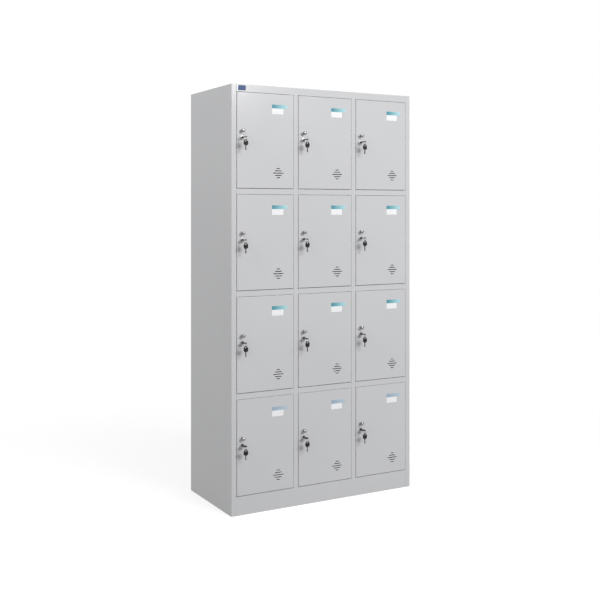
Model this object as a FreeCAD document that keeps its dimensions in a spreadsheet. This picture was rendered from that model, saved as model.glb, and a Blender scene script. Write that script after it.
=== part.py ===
"""Compartment locker: a folded sheet-steel cabinet with rows and columns of small lockable doors.

Row frame: origin on the floor under the middle of the cabinet, +X to the right, +Y to the back,
+Z up. The doors face -Y. Lengths are in millimetres.
"""
import FreeCAD, Part
import os
import re
import Sketcher

Vector = FreeCAD.Vector
Rotation = FreeCAD.Rotation

# Every size that can be set by itself: alias, value, what it is
SIZES = (
    ("overall_width", 915, "cabinet over its side panels"),
    ("overall_depth", 450, "cabinet from door face to back"),
    ("overall_height", 1830, "floor to top"),
    ("columns", 3, "compartments side by side"),
    ("rows", 4, "compartments above each other"),
    ("sheet", 0.8, "thickness of all folded sheet"),
    ("fold_radius", 1.5, "outside radius of the folds at the cabinet's corners"),
    ("border_width", 23.6, "front face of each side panel"),
    ("mullion_width", 22.3, "front face of each partition"),
    ("rail_height", 24, "front face of each shelf"),
    ("fascia_height", 30.8, "front face of the top panel"),
    ("plinth_height", 80, "floor to the lowest compartment's floor"),
    ("panel_flange", 15, "flange along the back of the side and top panels"),
    ("shelf_flange", 12, "flange along the back of shelves and partitions"),
    ("stop_lip", 8, "lip behind each door's top edge, which the door shuts against"),
    ("stop_gap", 1.6, "shut door to stop lip"),
    ("base_angle_leg", 20, "leg of the angle frame in the foot"),
    ("base_angle_wall", 1.5, "wall of the angle frame in the foot"),
    ("door_gap", 2, "gap at each door's latch edge and foot"),
    ("top_gap", 1.4, "gap above each door"),
    ("hinge_gap", 0.8, "gap at each door's hinge edge"),
    ("door_depth", 16, "depth of the folded door"),
    ("door_return", 12, "width of the inward return on the door's upright sides"),
    ("latch_fold_cut", 1, "corner taken off the outside of the door's latch-side fold"),
    ("hinge_fold_cut", 2.2, "corner taken off the outside of the door's hinge-side fold"),
    ("pin_inset", 3.2, "pivot to the door's hinge edge, and to its face"),
    ("pin_radius", 2, "pivot pin"),
    ("pin_reach", 5, "pin past the flange that it turns in"),
    ("pin_fit", 0.06, "radial clearance of a pin in its hole"),
    ("pin_sides", 8, "facets round a pivot pin"),
    ("vent_centre_x", 197, "vent group from the door's latch edge"),
    ("vent_centre_z", 66.5, "vent group above the door's lower edge"),
    ("vent_pitch", 10, "slot to slot"),
    ("vent_slot_height", 3.4, "one slot"),
    ("vent_slot_length", 50, "longest slot, the middle one"),
    ("lock_inset", 24, "lock from the door's latch edge"),
    ("lock_rise", 215.5, "lock above the door's lower edge"),
    ("lock_flange_radius", 10, "lock's front flange"),
    ("lock_face_radius", 8.6, "raised face of the flange"),
    ("lock_flange_proud", 4, "flange in front of the door"),
    ("lock_step", 1.4, "height of the flange's raised face"),
    ("lock_body_radius", 8, "lock body through the door"),
    ("lock_body_length", 18, "lock body behind the door's face"),
    ("lock_hole_fit", 0.15, "lock body in the door's hole"),
    ("lock_sides", 12, "facets round the lock and the knob"),
    ("plug_radius", 6, "turning plug"),
    ("plug_fit", 0.06, "radial clearance of the plug in its bore"),
    ("plug_proud", 0.4, "plug in front of the flange"),
    ("plug_tail", 1.2, "plug behind the lock body"),
    ("cam_thickness", 2, "cam plate"),
    ("cam_length", 30, "lock axis to the cam's tip"),
    ("cam_root_half_width", 7, "cam at the lock axis"),
    ("cam_tip_half_width", 5, "cam at its tip"),
    ("cam_corner", 2.5, "corners taken off the cam"),
    ("key_head_start", 11, "door face to the inserted key's head"),
    ("key_head_length", 26, "head along the key"),
    ("key_head_half_width", 10.5, "half the head's width"),
    ("key_head_thickness", 2.4, "head"),
    ("key_head_corner", 8, "corners taken off the head at its hole"),
    ("key_shoulder_corner", 5, "corners taken off the head at its shoulder"),
    ("key_hole_inset", 6.3, "hole centre from the head's end"),
    ("key_hole_radius", 4, "hole for the ring"),
    ("key_hole_sides", 8, "facets round the hole"),
    ("blade_length", 20, "key blade"),
    ("blade_width", 6, "key blade"),
    ("blade_thickness", 2, "key blade"),
    ("keyway_fit", 0.1, "blade in its keyway, each side"),
    ("keyway_spare", 1, "keyway past the blade's tip"),
    ("ring_radius", 8.6, "split ring, to the middle of its wire"),
    ("ring_wire", 1.6, "ring's wire"),
    ("ring_sides", 16, "facets round the ring"),
    ("ring_hang_angle", 50, "from the ring's middle up to the hole, off plumb, in degrees"),
    ("ring_slack", 0.3, "ring to the edge of the spare key's hole"),
    ("knob_rise", 244, "knob above the door's lower edge"),
    ("knob_radius", 8.5, "knob's head"),
    ("knob_base_radius", 7, "knob's foot on the door"),
    ("knob_neck_radius", 4.3, "knob's neck"),
    ("knob_face_radius", 6.8, "raised face of the knob"),
    ("knob_foot", 1.6, "thickness of the knob's foot"),
    ("knob_head", 8, "length of the knob's head, with its raised face"),
    ("knob_step", 1.2, "height of the raised face"),
    ("knob_proud", 20, "knob in front of the door"),
    ("overrun", 2, "how far a cut runs past what it cuts"),
)

# Places and sizes that follow from those above
LAYOUT = (
    ("half_width", "overall_width / 2"),
    ("front", "-overall_depth / 2"),
    ("back", "overall_depth / 2"),
    ("panel_top", "overall_height - sheet"),
    ("back_panel_front", "back - 2 * sheet"),
    ("opening_width", "(overall_width - 2 * border_width - (columns - 1) * mullion_width) / columns"),
    (
        "opening_height",
        "(overall_height - plinth_height - fascia_height - (rows - 1) * rail_height) / rows",
    ),
    ("column_pitch", "opening_width + mullion_width"),
    ("row_pitch", "opening_height + rail_height"),
    ("first_opening", "border_width - half_width"),
    ("fascia_bottom", "overall_height - fascia_height"),
    ("door_width", "opening_width - door_gap - hinge_gap"),
    ("door_height", "opening_height - door_gap - top_gap"),
    ("latch_fold_inside", "latch_fold_cut + sheet * (sqrt(2) - 1)"),
    ("hinge_fold_inside", "hinge_fold_cut + sheet * (sqrt(2) - 1)"),
    ("reveal", "door_depth + stop_gap + sheet"),
    ("reveal_back", "front + reveal"),
    ("pin_length", "pin_reach + sheet + door_gap"),
    ("pin_hole_radius", "(pin_radius + pin_fit) / cos(180 deg / pin_sides)"),
    ("pin_line", "front + pin_inset"),
    ("lock_bore_radius", "(plug_radius + plug_fit) / cos(180 deg / lock_sides)"),
    ("cam_front", "lock_body_length + plug_tail"),
    ("key_hole_out", "key_head_start + key_head_length - key_hole_inset"),
    ("key_shoulder", "key_head_length - key_hole_inset"),
    ("blade_depth", "blade_length - key_head_start"),
    ("ring_inner", "ring_radius - ring_wire / 2"),
    ("ring_outer", "ring_radius + ring_wire / 2"),
    ("ring_out", "key_hole_out + ring_radius * sin(ring_hang_angle * 1 deg)"),
    ("ring_drop", "ring_radius * cos(ring_hang_angle * 1 deg)"),
    ("spare_hole_drop", "ring_drop + ring_inner + key_hole_radius * cos(180 deg / key_hole_sides) - ring_slack"),
)

# Lengths of the vent slots, from the top of the diamond to its foot
VENT_LENGTH_SHARES = (0.32, 0.64, 1, 0.64, 0.32)

doc = FreeCAD.newDocument("compartment_locker")


def tied(text):
    """The expression with each alias written as a cell of the sheet that holds it."""
    for names, sheet_name in ((SIZES, "Sizes"), (LAYOUT, "Layout")):
        words = "|".join(sorted((row[0] for row in names), key=len, reverse=True))
        text = re.sub(r"(?<![\w.])(%s)(?!\w)" % words, sheet_name + r".\1", text)
    return text


def make_sheets():
    """The sheet of driving sizes, and the sheet of what follows from them."""
    sizes = doc.addObject("Spreadsheet::Sheet", "Sizes")
    for line, (alias, value, meaning) in enumerate(SIZES, start=1):
        sizes.set("A%d" % line, alias)
        sizes.set("B%d" % line, str(value))
        sizes.set("C%d" % line, meaning)
        sizes.setAlias("B%d" % line, alias)
    layout = doc.addObject("Spreadsheet::Sheet", "Layout")
    for line, (alias, formula) in enumerate(LAYOUT, start=1):
        layout.set("A%d" % line, alias)
        layout.set("B%d" % line, "=" + tied(formula).replace("Layout.", ""))
        layout.setAlias("B%d" % line, alias)
    doc.recompute()
    return sizes, layout


SHEET, PLACES = make_sheets()


def number(text):
    """What an expression comes to."""
    return float(SHEET.evalExpression(tied(str(text))))


def bind(thing, **expressions):
    """Tie properties of an object to the sheet; x, y and z are its place."""
    for name, text in expressions.items():
        target = "Placement.Base." + name if name in ("x", "y", "z") else name
        thing.setExpression(target, tied(str(text)))
    return thing


def new_body(name):
    return doc.addObject("PartDesign::Body", name)


def new_sketch(body, name, plane, offset=None):
    """A sketch on one of the body's own origin planes, or parallel to it at an offset."""
    sketch = body.newObject("Sketcher::SketchObject", name)
    support = [f for f in body.Origin.OriginFeatures if f.Role == plane]
    sketch.AttachmentSupport = [(support[0], "")]
    sketch.MapMode = "FlatFace"
    if offset is not None:
        sketch.setExpression("AttachmentOffset.Base.z", tied(offset))
    return sketch


def add_outline(sketch, corners):
    """A closed outline with each corner tied to the sheet."""
    first = sketch.GeometryCount
    points = [Vector(number(across), number(up), 0) for across, up in corners]
    count = len(points)
    for i in range(count):
        sketch.addGeometry(Part.LineSegment(points[i], points[(i + 1) % count]), False)
    for i in range(count):
        joined = Sketcher.Constraint("Coincident", first + i, 2, first + (i + 1) % count, 1)
        sketch.addConstraint(joined)
    for i, corner in enumerate(corners):
        for kind, value, text in zip(("DistanceX", "DistanceY"), points[i], corner):
            place = sketch.addConstraint(Sketcher.Constraint(kind, -1, 1, first + i, 1, value))
            sketch.setExpression("Constraints[%d]" % place, tied(text))


def rectangle(left, low, right, high):
    return [(left, low), (right, low), (right, high), (left, high)]


def add_pad(body, name, plane, corners, length, offset=None, middle=False):
    """Sheet or bar of one section, padded from a plane of the body."""
    sketch = new_sketch(body, name + "_outline", plane, offset)
    add_outline(sketch, corners)
    pad = body.newObject("PartDesign::Pad", name)
    pad.Profile = sketch
    pad.Midplane = middle
    return bind(pad, Length=length)


def add_box(body, name, kind, low, high):
    """A box added to or cut from a body, from its low corner to its high corner."""
    box = body.newObject("PartDesign::%sBox" % kind, name)
    sides = ["(%s) - (%s)" % (far, near) for near, far in zip(low, high)]
    bind(box, Length=sides[0], Width=sides[1], Height=sides[2])
    return bind(box, x=low[0], y=low[1], z=low[2])


def cut_prism(body, name, sides, radius, x, y, z, height, turn=None):
    """A faceted round hole, upright or turned to run along Y."""
    hole = body.newObject("PartDesign::SubtractivePrism", name)
    if turn:
        hole.Placement = FreeCAD.Placement(Vector(), turn)
    bind(hole, Polygon=sides, Circumradius=radius, Height=height)
    return bind(hole, x=x, y=y, z=z)


def round_folds(body, name, places):
    """Round the upright folds of a panel at the given places."""
    doc.recompute()
    panel = body.Tip
    edges = []
    for index, edge in enumerate(panel.Shape.Edges, start=1):
        feet = [Vector(vertex.X, vertex.Y, 0) for vertex in edge.Vertexes]
        for x, y in places:
            spot = Vector(number(x), number(y), 0)
            if all((foot - spot).Length < number("sheet") / 2 for foot in feet):
                edges.append("Edge%d" % index)
    fillet = body.newObject("PartDesign::Fillet", name)
    fillet.Base = (panel, edges)
    return bind(fillet, Radius="fold_radius")


OUTWARD = Rotation(Vector(1, 0, 0), 90)


def round_bar(name, radius, near, far):
    """A faceted round bar with its axis along Y, between two distances out of the door."""
    bar = doc.addObject("Part::Prism", name)
    bar.Placement = FreeCAD.Placement(Vector(), OUTWARD)
    bind(bar, Polygon="lock_sides", Circumradius=radius, Height="(%s) - (%s)" % (far, near))
    return bind(bar, y="-(%s)" % near)


def stepped_bar(name, steps):
    """A turned piece with its axis along Y, as steps of (radius, start, end) out of the door."""
    fuse = doc.addObject("Part::MultiFuse", name)
    fuse.Shapes = [round_bar("%s_step_%d" % (name, n), *step) for n, step in enumerate(steps, start=1)]
    return fuse


def cut(name, base, tool):
    piece = doc.addObject("Part::Cut", name)
    piece.Base = base
    piece.Tool = tool
    return piece


def group(name, pieces, **place):
    """Pieces that share one node, or one piece set in a place of its own."""
    compound = doc.addObject("Part::Compound", name)
    compound.Label = name
    compound.Links = pieces
    return bind(compound, **place)


def column_left(column):
    """Latch-side edge of a column's openings, counted from nought."""
    return "first_opening + %d * column_pitch" % column


def row_floor(row):
    """Lower edge of a row's openings, counted from nought at the foot."""
    return "plinth_height + %d * row_pitch" % row


def pivot_x(column):
    return "%s + opening_width - hinge_gap - pin_inset" % column_left(column)


def side_panel(name, hand):
    """Side sheet folded round the front border and its reveal, and round the back flange."""
    body = new_body(name)
    edge = "%s * half_width" % hand
    border = "%s * (half_width - border_width)" % hand
    inner_border = "%s * (half_width - border_width + sheet)" % hand
    inner_edge = "%s * (half_width - sheet)" % hand
    flange = "%s * (half_width - panel_flange)" % hand
    corners = [
        (edge, "front"),
        (border, "front"),
        (border, "reveal_back"),
        (inner_border, "reveal_back"),
        (inner_border, "front + sheet"),
        (inner_edge, "front + sheet"),
        (inner_edge, "back - sheet"),
        (flange, "back - sheet"),
        (flange, "back"),
        (edge, "back"),
    ]
    add_pad(body, name + "_sheet", "XY_Plane", corners, "panel_top")
    round_folds(body, name + "_folds", [(edge, "front"), (border, "front")])
    return body


def partition():
    """Partition sheet folded at the front into the mullion; its hinge-side face is at x = 0."""
    body = new_body("partition")
    corners = [
        ("0", "front"),
        ("mullion_width", "front"),
        ("mullion_width", "reveal_back"),
        ("mullion_width - sheet", "reveal_back"),
        ("mullion_width - sheet", "front + sheet"),
        ("sheet", "front + sheet"),
        ("sheet", "back_panel_front - sheet"),
        ("shelf_flange", "back_panel_front - sheet"),
        ("shelf_flange", "back_panel_front"),
        ("0", "back_panel_front"),
    ]
    height = "panel_top - plinth_height"
    add_pad(body, "partition_sheet", "XY_Plane", corners, height, offset="plinth_height")
    notch_low = ("-overrun", "front - overrun", "fascia_bottom")
    notch_high = ("mullion_width + overrun", "reveal_back", "overall_height")
    add_box(body, "fascia_notch", "Subtractive", notch_low, notch_high)
    round_folds(body, "mullion_folds", [("0", "front"), ("mullion_width", "front")])
    return body


def notch_for_upright(body, name, left, right, low, high):
    """Clear the upright fold beside an opening."""
    near = (left, "front - overrun", low)
    far = (right, "reveal_back", high)
    return add_box(body, name, "Subtractive", near, far)


def shelf(column, last):
    """One column's shelf: rail, stop lip and deck in one fold, with the rail's underside at z = 0."""
    body = new_body("shelf_column_%d" % (column + 1))
    name = body.Name
    opening = column_left(column)
    left = "sheet - half_width" if column == 0 else "%s - mullion_width + sheet" % opening
    right = "half_width - sheet" if last else "%s + opening_width" % opening
    corners = [
        ("front", "0"),
        ("reveal_back - sheet", "0"),
        ("reveal_back - sheet", "-stop_lip"),
        ("reveal_back", "-stop_lip"),
        ("reveal_back", "sheet"),
        ("front + sheet", "sheet"),
        ("front + sheet", "rail_height - sheet"),
        ("back_panel_front - sheet", "rail_height - sheet"),
        ("back_panel_front - sheet", "rail_height - shelf_flange"),
        ("back_panel_front", "rail_height - shelf_flange"),
        ("back_panel_front", "rail_height"),
        ("front", "rail_height"),
    ]
    add_pad(body, name + "_fold", "YZ_Plane", corners, "%s - (%s)" % (right, left), offset=left)
    low = "-stop_lip - overrun"
    high = "rail_height + overrun"
    notch_for_upright(body, name + "_latch_notch", "%s - overrun" % left, opening, low, high)
    if last:
        edge = "%s + opening_width" % opening
        notch_for_upright(body, name + "_hinge_notch", edge, "%s + overrun" % right, low, high)
    if column:
        # room for the partition's own back flange
        near = ("%s - overrun" % left, "back_panel_front - sheet", "-overrun")
        flange_end = "%s - mullion_width + shelf_flange" % opening
        add_box(body, name + "_back_notch", "Subtractive", near, (flange_end, "back", high))
    cut_pin_hole(body, name + "_pin_holes", column, "-overrun", "rail_height + 2 * overrun")
    return body


def cut_pin_hole(body, name, column, low, height):
    return cut_prism(
        body, name, "pin_sides", "pin_hole_radius", pivot_x(column), "pin_line", low, height
    )


def bottom_panel(columns):
    """Floor of the lowest row, folded down into the plinth and back under it."""
    body = new_body("bottom_panel")
    corners = [
        ("front", "0"),
        ("reveal_back", "0"),
        ("reveal_back", "sheet"),
        ("front + sheet", "sheet"),
        ("front + sheet", "plinth_height - sheet"),
        ("back_panel_front - sheet", "plinth_height - sheet"),
        ("back_panel_front - sheet", "plinth_height - shelf_flange"),
        ("back_panel_front", "plinth_height - shelf_flange"),
        ("back_panel_front", "plinth_height"),
        ("front", "plinth_height"),
    ]
    length = "overall_width - 2 * sheet"
    add_pad(body, "bottom_fold", "YZ_Plane", corners, length, offset="sheet - half_width")
    sides = (
        ("latch", "-half_width", "first_opening"),
        ("hinge", "-first_opening", "half_width"),
    )
    for name, left, right in sides:
        notch_for_upright(
            body, "bottom_%s_notch" % name, left, right, "-overrun", "plinth_height + overrun"
        )
    for column in range(columns):
        name = "bottom_pin_hole_%d" % (column + 1)
        cut_pin_hole(body, name, column, "plinth_height - sheet - overrun", "sheet + 2 * overrun")
    return body


def top_panel(columns):
    """Top sheet with the fascia below its front edge, the stop lips and the back flange."""
    body = new_body("top_panel")
    roof = rectangle("-half_width", "front", "half_width", "back")
    add_pad(body, "top_sheet", "XY_Plane", roof, "sheet", offset="panel_top")
    corners = [
        ("front", "fascia_bottom"),
        ("reveal_back", "fascia_bottom"),
        ("reveal_back", "fascia_bottom + sheet"),
        ("front + sheet", "fascia_bottom + sheet"),
        ("front + sheet", "panel_top"),
        ("front", "panel_top"),
    ]
    length = "-2 * first_opening"
    add_pad(body, "fascia_fold", "YZ_Plane", corners, length, offset="first_opening")
    for column in range(columns):
        left = column_left(column)
        low = (left, "reveal_back - sheet", "fascia_bottom - stop_lip")
        high = ("%s + opening_width" % left, "reveal_back", "fascia_bottom")
        add_box(body, "top_stop_lip_%d" % (column + 1), "Additive", low, high)
        name = "top_pin_hole_%d" % (column + 1)
        cut_pin_hole(body, name, column, "fascia_bottom - overrun", "sheet + 2 * overrun")
    low = ("panel_flange - half_width", "back - sheet", "panel_top - panel_flange")
    high = ("half_width - panel_flange", "back", "panel_top")
    add_box(body, "top_back_flange", "Additive", low, high)
    return body


def back_panel():
    """Flat sheet in front of the side panels' back flanges."""
    box = doc.addObject("Part::Box", "back_panel")
    bind(box, Length="overall_width - 2 * sheet", Width="sheet", Height="panel_top")
    return bind(box, x="sheet - half_width", y="back_panel_front", z="0")


def base_box(name, inset, height, z):
    """A block on the foot's plan, drawn in by an inset."""
    box = doc.addObject("Part::Box", name)
    bind(box, Length="overall_width - 2 * sheet - 2 * (%s)" % inset, Height=height)
    bind(box, Width="back_panel_front - reveal_back - 2 * (%s)" % inset)
    return bind(box, x="sheet - half_width + %s" % inset, y="reveal_back + %s" % inset, z=z)


def base_frame():
    """Ring of angle in the foot, which the cabinet stands on."""
    block = base_box("base_block", "0", "base_angle_leg", "0")
    upper = base_box("base_over_leg", "base_angle_wall", "base_angle_leg", "base_angle_wall")
    middle = base_box("base_middle", "base_angle_leg", "base_angle_leg + overrun", "-overrun")
    return cut("base_frame", cut("base_upright_legs", block, upper), middle)


def door_pan():
    """Door: a folded pan with vent slots and the lock's hole, its latch-side foot at the origin."""
    body = new_body("door_pan")
    inside = [
        ("door_width - sheet", "hinge_fold_inside"),
        ("door_width - hinge_fold_inside", "sheet"),
        ("latch_fold_inside", "sheet"),
        ("sheet", "latch_fold_inside"),
    ]
    corners = [
        ("latch_fold_cut", "0"),
        ("door_width - hinge_fold_cut", "0"),
        ("door_width", "hinge_fold_cut"),
        ("door_width", "door_depth"),
        ("door_width - door_return", "door_depth"),
        ("door_width - door_return", "door_depth - sheet"),
        ("door_width - sheet", "door_depth - sheet"),
        *inside,
        ("sheet", "door_depth - sheet"),
        ("door_return", "door_depth - sheet"),
        ("door_return", "door_depth"),
        ("0", "door_depth"),
        ("0", "latch_fold_cut"),
    ]
    add_pad(body, "door_fold", "XY_Plane", corners, "door_height")
    ends = inside + [("sheet", "door_depth"), ("door_width - sheet", "door_depth")]
    for name, level in (("lower", "0"), ("upper", "door_height - sheet")):
        add_pad(body, "door_%s_return" % name, "XY_Plane", ends, "sheet", offset=level)
    slots = new_sketch(body, "vent_slots_outline", "XZ_Plane")
    middle = (len(VENT_LENGTH_SHARES) - 1) / 2
    for index, share in enumerate(VENT_LENGTH_SHARES):
        centre = "vent_centre_z + %g * vent_pitch" % (middle - index)
        half = "%g * vent_slot_length / 2" % share
        add_outline(
            slots,
            rectangle(
                "vent_centre_x - " + half,
                centre + " - vent_slot_height / 2",
                "vent_centre_x + " + half,
                centre + " + vent_slot_height / 2",
            ),
        )
    pocket = body.newObject("PartDesign::Pocket", "vent_slots")
    pocket.Profile = slots
    bind(pocket, Length="sheet + overrun")
    radius = "lock_body_radius + lock_hole_fit"
    cut_prism(
        body, "lock_hole", "lock_sides", radius, "lock_inset", "overrun + sheet", "lock_rise",
        "sheet + 2 * overrun", turn=OUTWARD,
    )
    return body


def pivot_pin(name, z):
    """Stub pin fixed to the door's end return."""
    pin = doc.addObject("Part::Prism", name)
    bind(pin, Polygon="pin_sides", Circumradius="pin_radius", Height="pin_length")
    return bind(pin, x="door_width - pin_inset", y="pin_inset", z=z)


def lock_housing():
    """Lock barrel: stepped flange on the door's face and body through the door, bored for the plug."""
    steps = [
        ("lock_body_radius", "-lock_body_length", "0"),
        ("lock_flange_radius", "0", "lock_flange_proud - lock_step"),
        ("lock_face_radius", "lock_flange_proud - lock_step", "lock_flange_proud"),
    ]
    barrel = stepped_bar("lock_barrel", steps)
    low = "-lock_body_length - overrun"
    bore = round_bar("lock_bore", "lock_bore_radius", low, "lock_flange_proud + overrun")
    return group("lock_housing", [cut("lock_shell", barrel, bore)], x="lock_inset", z="lock_rise")


def knob():
    """Pull knob, turned: foot on the door, narrow neck, and head with a raised face."""
    steps = [
        ("knob_base_radius", "0", "knob_foot"),
        ("knob_neck_radius", "knob_foot", "knob_proud - knob_head"),
        ("knob_radius", "knob_proud - knob_head", "knob_proud - knob_step"),
        ("knob_face_radius", "knob_proud - knob_step", "knob_proud"),
    ]
    return group("knob_on_door", [stepped_bar("knob", steps)], x="lock_inset", z="knob_rise")


def door_fittings():
    pins = [
        pivot_pin("lower_pin", "-pin_length"),
        pivot_pin("upper_pin", "door_height"),
    ]
    return group("door_fittings", [lock_housing(), knob()] + pins)


def lock_plug():
    """Turning plug with its keyway; the lock axis is Y, and y = 0 is the door's face."""
    blank = round_bar("lock_plug_blank", "plug_radius", "-cam_front", "lock_flange_proud + plug_proud")
    keyway = doc.addObject("Part::Box", "keyway")
    bind(keyway, Length="blade_width + 2 * keyway_fit", Height="blade_thickness + 2 * keyway_fit")
    bind(keyway, Width="blade_depth + keyway_spare + lock_flange_proud + overrun")
    bind(keyway, x="-blade_width / 2 - keyway_fit", z="-blade_thickness / 2 - keyway_fit")
    bind(keyway, y="-lock_flange_proud - overrun")
    return cut("lock_plug", blank, keyway)


def cam():
    """Cam plate on the plug's inner end, hanging down while the lock is open."""
    body = new_body("cam")
    corners = [
        ("-cam_root_half_width", "cam_root_half_width - cam_corner"),
        ("cam_corner - cam_root_half_width", "cam_root_half_width"),
        ("cam_root_half_width - cam_corner", "cam_root_half_width"),
        ("cam_root_half_width", "cam_root_half_width - cam_corner"),
        ("cam_tip_half_width", "cam_corner - cam_length"),
        ("cam_tip_half_width - cam_corner", "-cam_length"),
        ("cam_corner - cam_tip_half_width", "-cam_length"),
        ("-cam_tip_half_width", "cam_corner - cam_length"),
    ]
    offset = "-cam_front - cam_thickness"
    add_pad(body, "cam_plate", "XZ_Plane", corners, "cam_thickness", offset=offset)
    return body


def key():
    """Key with its hole at the origin, its head in the XY plane and its blade towards +Y."""
    head = new_body("key_head")
    corners = [
        ("key_head_corner - key_head_half_width", "-key_hole_inset"),
        ("key_head_half_width - key_head_corner", "-key_hole_inset"),
        ("key_head_half_width", "key_head_corner - key_hole_inset"),
        ("key_head_half_width", "key_shoulder - key_shoulder_corner"),
        ("key_head_half_width - key_shoulder_corner", "key_shoulder"),
        ("key_shoulder_corner - key_head_half_width", "key_shoulder"),
        ("-key_head_half_width", "key_shoulder - key_shoulder_corner"),
        ("-key_head_half_width", "key_head_corner - key_hole_inset"),
    ]
    add_pad(head, "key_head_plate", "XY_Plane", corners, "key_head_thickness", middle=True)
    cut_prism(
        head, "key_ring_hole", "key_hole_sides", "key_hole_radius", "0", "0",
        "-key_head_thickness", "2 * key_head_thickness",
    )
    blade = doc.addObject("Part::Box", "key_blade")
    bind(blade, Length="blade_width", Width="blade_length", Height="blade_thickness")
    bind(blade, x="-blade_width / 2", y="key_shoulder", z="-blade_thickness / 2")
    return group("key", [head, blade])


def split_ring():
    """Ring standing in the YZ plane, threaded through both keys' holes."""
    discs = []
    for name, radius in (("ring_disc", "ring_outer"), ("ring_eye", "ring_inner")):
        disc = doc.addObject("Part::Prism", name)
        disc.Placement = FreeCAD.Placement(Vector(), Rotation(Vector(0, 1, 0), 90))
        bind(disc, Polygon="ring_sides", Circumradius=radius, Height="ring_wire")
        discs.append(bind(disc, x="-ring_wire / 2", y="-ring_out", z="-ring_drop"))
    return cut("split_ring", discs[0], discs[1])


def spare_key(key_piece):
    """The second key hangs from the ring, face to the front and blade down."""
    hung = group("hung_key", [key_piece])
    hung.Placement = FreeCAD.Placement(Vector(), Rotation(Vector(1, 0, 0), -90))
    bind(hung, y="-ring_out", z="-spare_hole_drop")
    return group("spare_key", [split_ring(), hung])


def build():
    """Every node of the locker, by name."""
    columns = int(SHEET.columns)
    rows = int(SHEET.rows)
    nodes = [
        side_panel("left_side_panel", "-1"),
        side_panel("right_side_panel", "1"),
        back_panel(),
        top_panel(columns),
        bottom_panel(columns),
        base_frame(),
    ]
    upright = partition()
    for column in range(1, columns):
        place = "%s - mullion_width" % column_left(column)
        nodes.append(group("partition_%d" % column, [upright], x=place))
    decks = [shelf(column, column == columns - 1) for column in range(columns)]
    for row in range(1, rows):
        level = "%s - rail_height" % row_floor(row)
        nodes.append(group("shelves_%d" % row, decks, z=level))

    pan = door_pan()
    fittings = door_fittings()
    key_piece = key()
    inserted = group("inserted_key", [key_piece], y="-key_hole_out")
    plug_set = group("lock_plug_set", [lock_plug(), cam(), inserted])
    spare = spare_key(key_piece)
    for row in range(rows):
        for column in range(columns):
            # rows are named from the top down, as a reader sees them
            tag = "r%dc%d" % (rows - row, column + 1)
            door_x = "%s + door_gap" % column_left(column)
            door_z = "%s + door_gap" % row_floor(row)
            lock_x = door_x + " + lock_inset"
            lock_z = door_z + " + lock_rise"
            nodes += [
                group("door_" + tag, [pan], x=door_x, y="front", z=door_z),
                group("door_fittings_" + tag, [fittings], x=door_x, y="front", z=door_z),
                group("lock_plug_" + tag, [plug_set], x=lock_x, y="front", z=lock_z),
                group("spare_key_" + tag, [spare], x=lock_x, y="front", z=lock_z),
            ]
    return nodes


def check_and_write(nodes):
    """Stop on any failed object or bad shape, then write each node's STEP file."""
    for thing in doc.Objects:
        failed = {"Invalid", "Error"} & set(thing.State)
        if failed:
            raise RuntimeError("%s is %s" % (thing.Name, ", ".join(failed)))
    for node in nodes:
        if node.Shape.isNull() or not node.Shape.isValid() or not node.Shape.Solids:
            raise RuntimeError("%s has no valid shape" % node.Label)
    os.makedirs("parts", exist_ok=True)
    for node in nodes:
        node.Shape.exportStep("parts/%s.step" % node.Label)


locker = build()
doc.recompute()
check_and_write(locker)
print("wrote %d nodes, %d solids" % (len(locker), sum(len(node.Shape.Solids) for node in locker)))
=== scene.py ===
import math

import bmesh
import bpy
from mathutils import Matrix, Vector


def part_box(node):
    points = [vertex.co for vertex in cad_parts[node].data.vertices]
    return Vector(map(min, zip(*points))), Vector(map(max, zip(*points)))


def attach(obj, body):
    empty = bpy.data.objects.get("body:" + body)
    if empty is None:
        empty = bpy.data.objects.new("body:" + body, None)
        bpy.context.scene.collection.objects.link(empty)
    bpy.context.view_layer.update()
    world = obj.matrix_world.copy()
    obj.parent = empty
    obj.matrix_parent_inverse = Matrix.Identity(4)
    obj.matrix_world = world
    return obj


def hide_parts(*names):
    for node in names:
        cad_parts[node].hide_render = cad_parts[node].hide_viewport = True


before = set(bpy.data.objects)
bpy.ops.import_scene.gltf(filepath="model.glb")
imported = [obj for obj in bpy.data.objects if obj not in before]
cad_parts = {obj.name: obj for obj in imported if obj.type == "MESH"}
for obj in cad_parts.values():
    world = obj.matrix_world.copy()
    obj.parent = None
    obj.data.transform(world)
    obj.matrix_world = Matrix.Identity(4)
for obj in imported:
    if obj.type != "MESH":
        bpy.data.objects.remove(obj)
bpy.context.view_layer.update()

scene = bpy.context.scene

# the plane of the doors' front faces, in metres
FRONT_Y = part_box("door_r1c1")[0].y

# ---------------------------------------------------------------- sizes, in mm
MM = 0.001
COLUMNS, ROWS = 3, 4

# places on a door, from the front of its latch-side foot: across, into the door, up
LOCK, KNOB = Vector((24, 0, 215.5)), Vector((24, 0, 244))
CARD_PLACE, BAND_PLACE = Vector((194, 0, 334)), Vector((203, 0, 354.5))
VENT_MIDDLE, VENT_PITCH, VENT_LENGTHS = Vector((197, 0, 66.5)), 10.0, (16, 32, 50, 32, 16)
VENT_HEIGHT, VENT_CORNER = 3.4, 1.3

# the door pan: its sheet, how much its folds and welded corners are rounded, and how far it
# reaches into the gap on its hinge side
SHEET, FOLD, HINGE_FOLD, WELD, HINGE_REACH = 0.8, 1.2, 2.2, 0.5, 0.4
DOOR_DEPTH, DOOR_RETURN = 16.0, 12.0
PIN_INSET, PIN_RADIUS, PIN_LENGTH, PIN_CHAMFER = 3.2, 2.0, 7.8, 0.6
LOCK_HOLE = 8.15

# labels: width, height and thickness, and how much their corners are rounded
CARD_SIZE, CARD_CORNER = (56, 26, 0.35), 1.2
BAND_SIZE, BAND_CORNER = (74, 16.5, 0.4), 2.5
BADGE_SIZE, BADGE_CORNER = (35, 21, 0.9), 1.5
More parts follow.
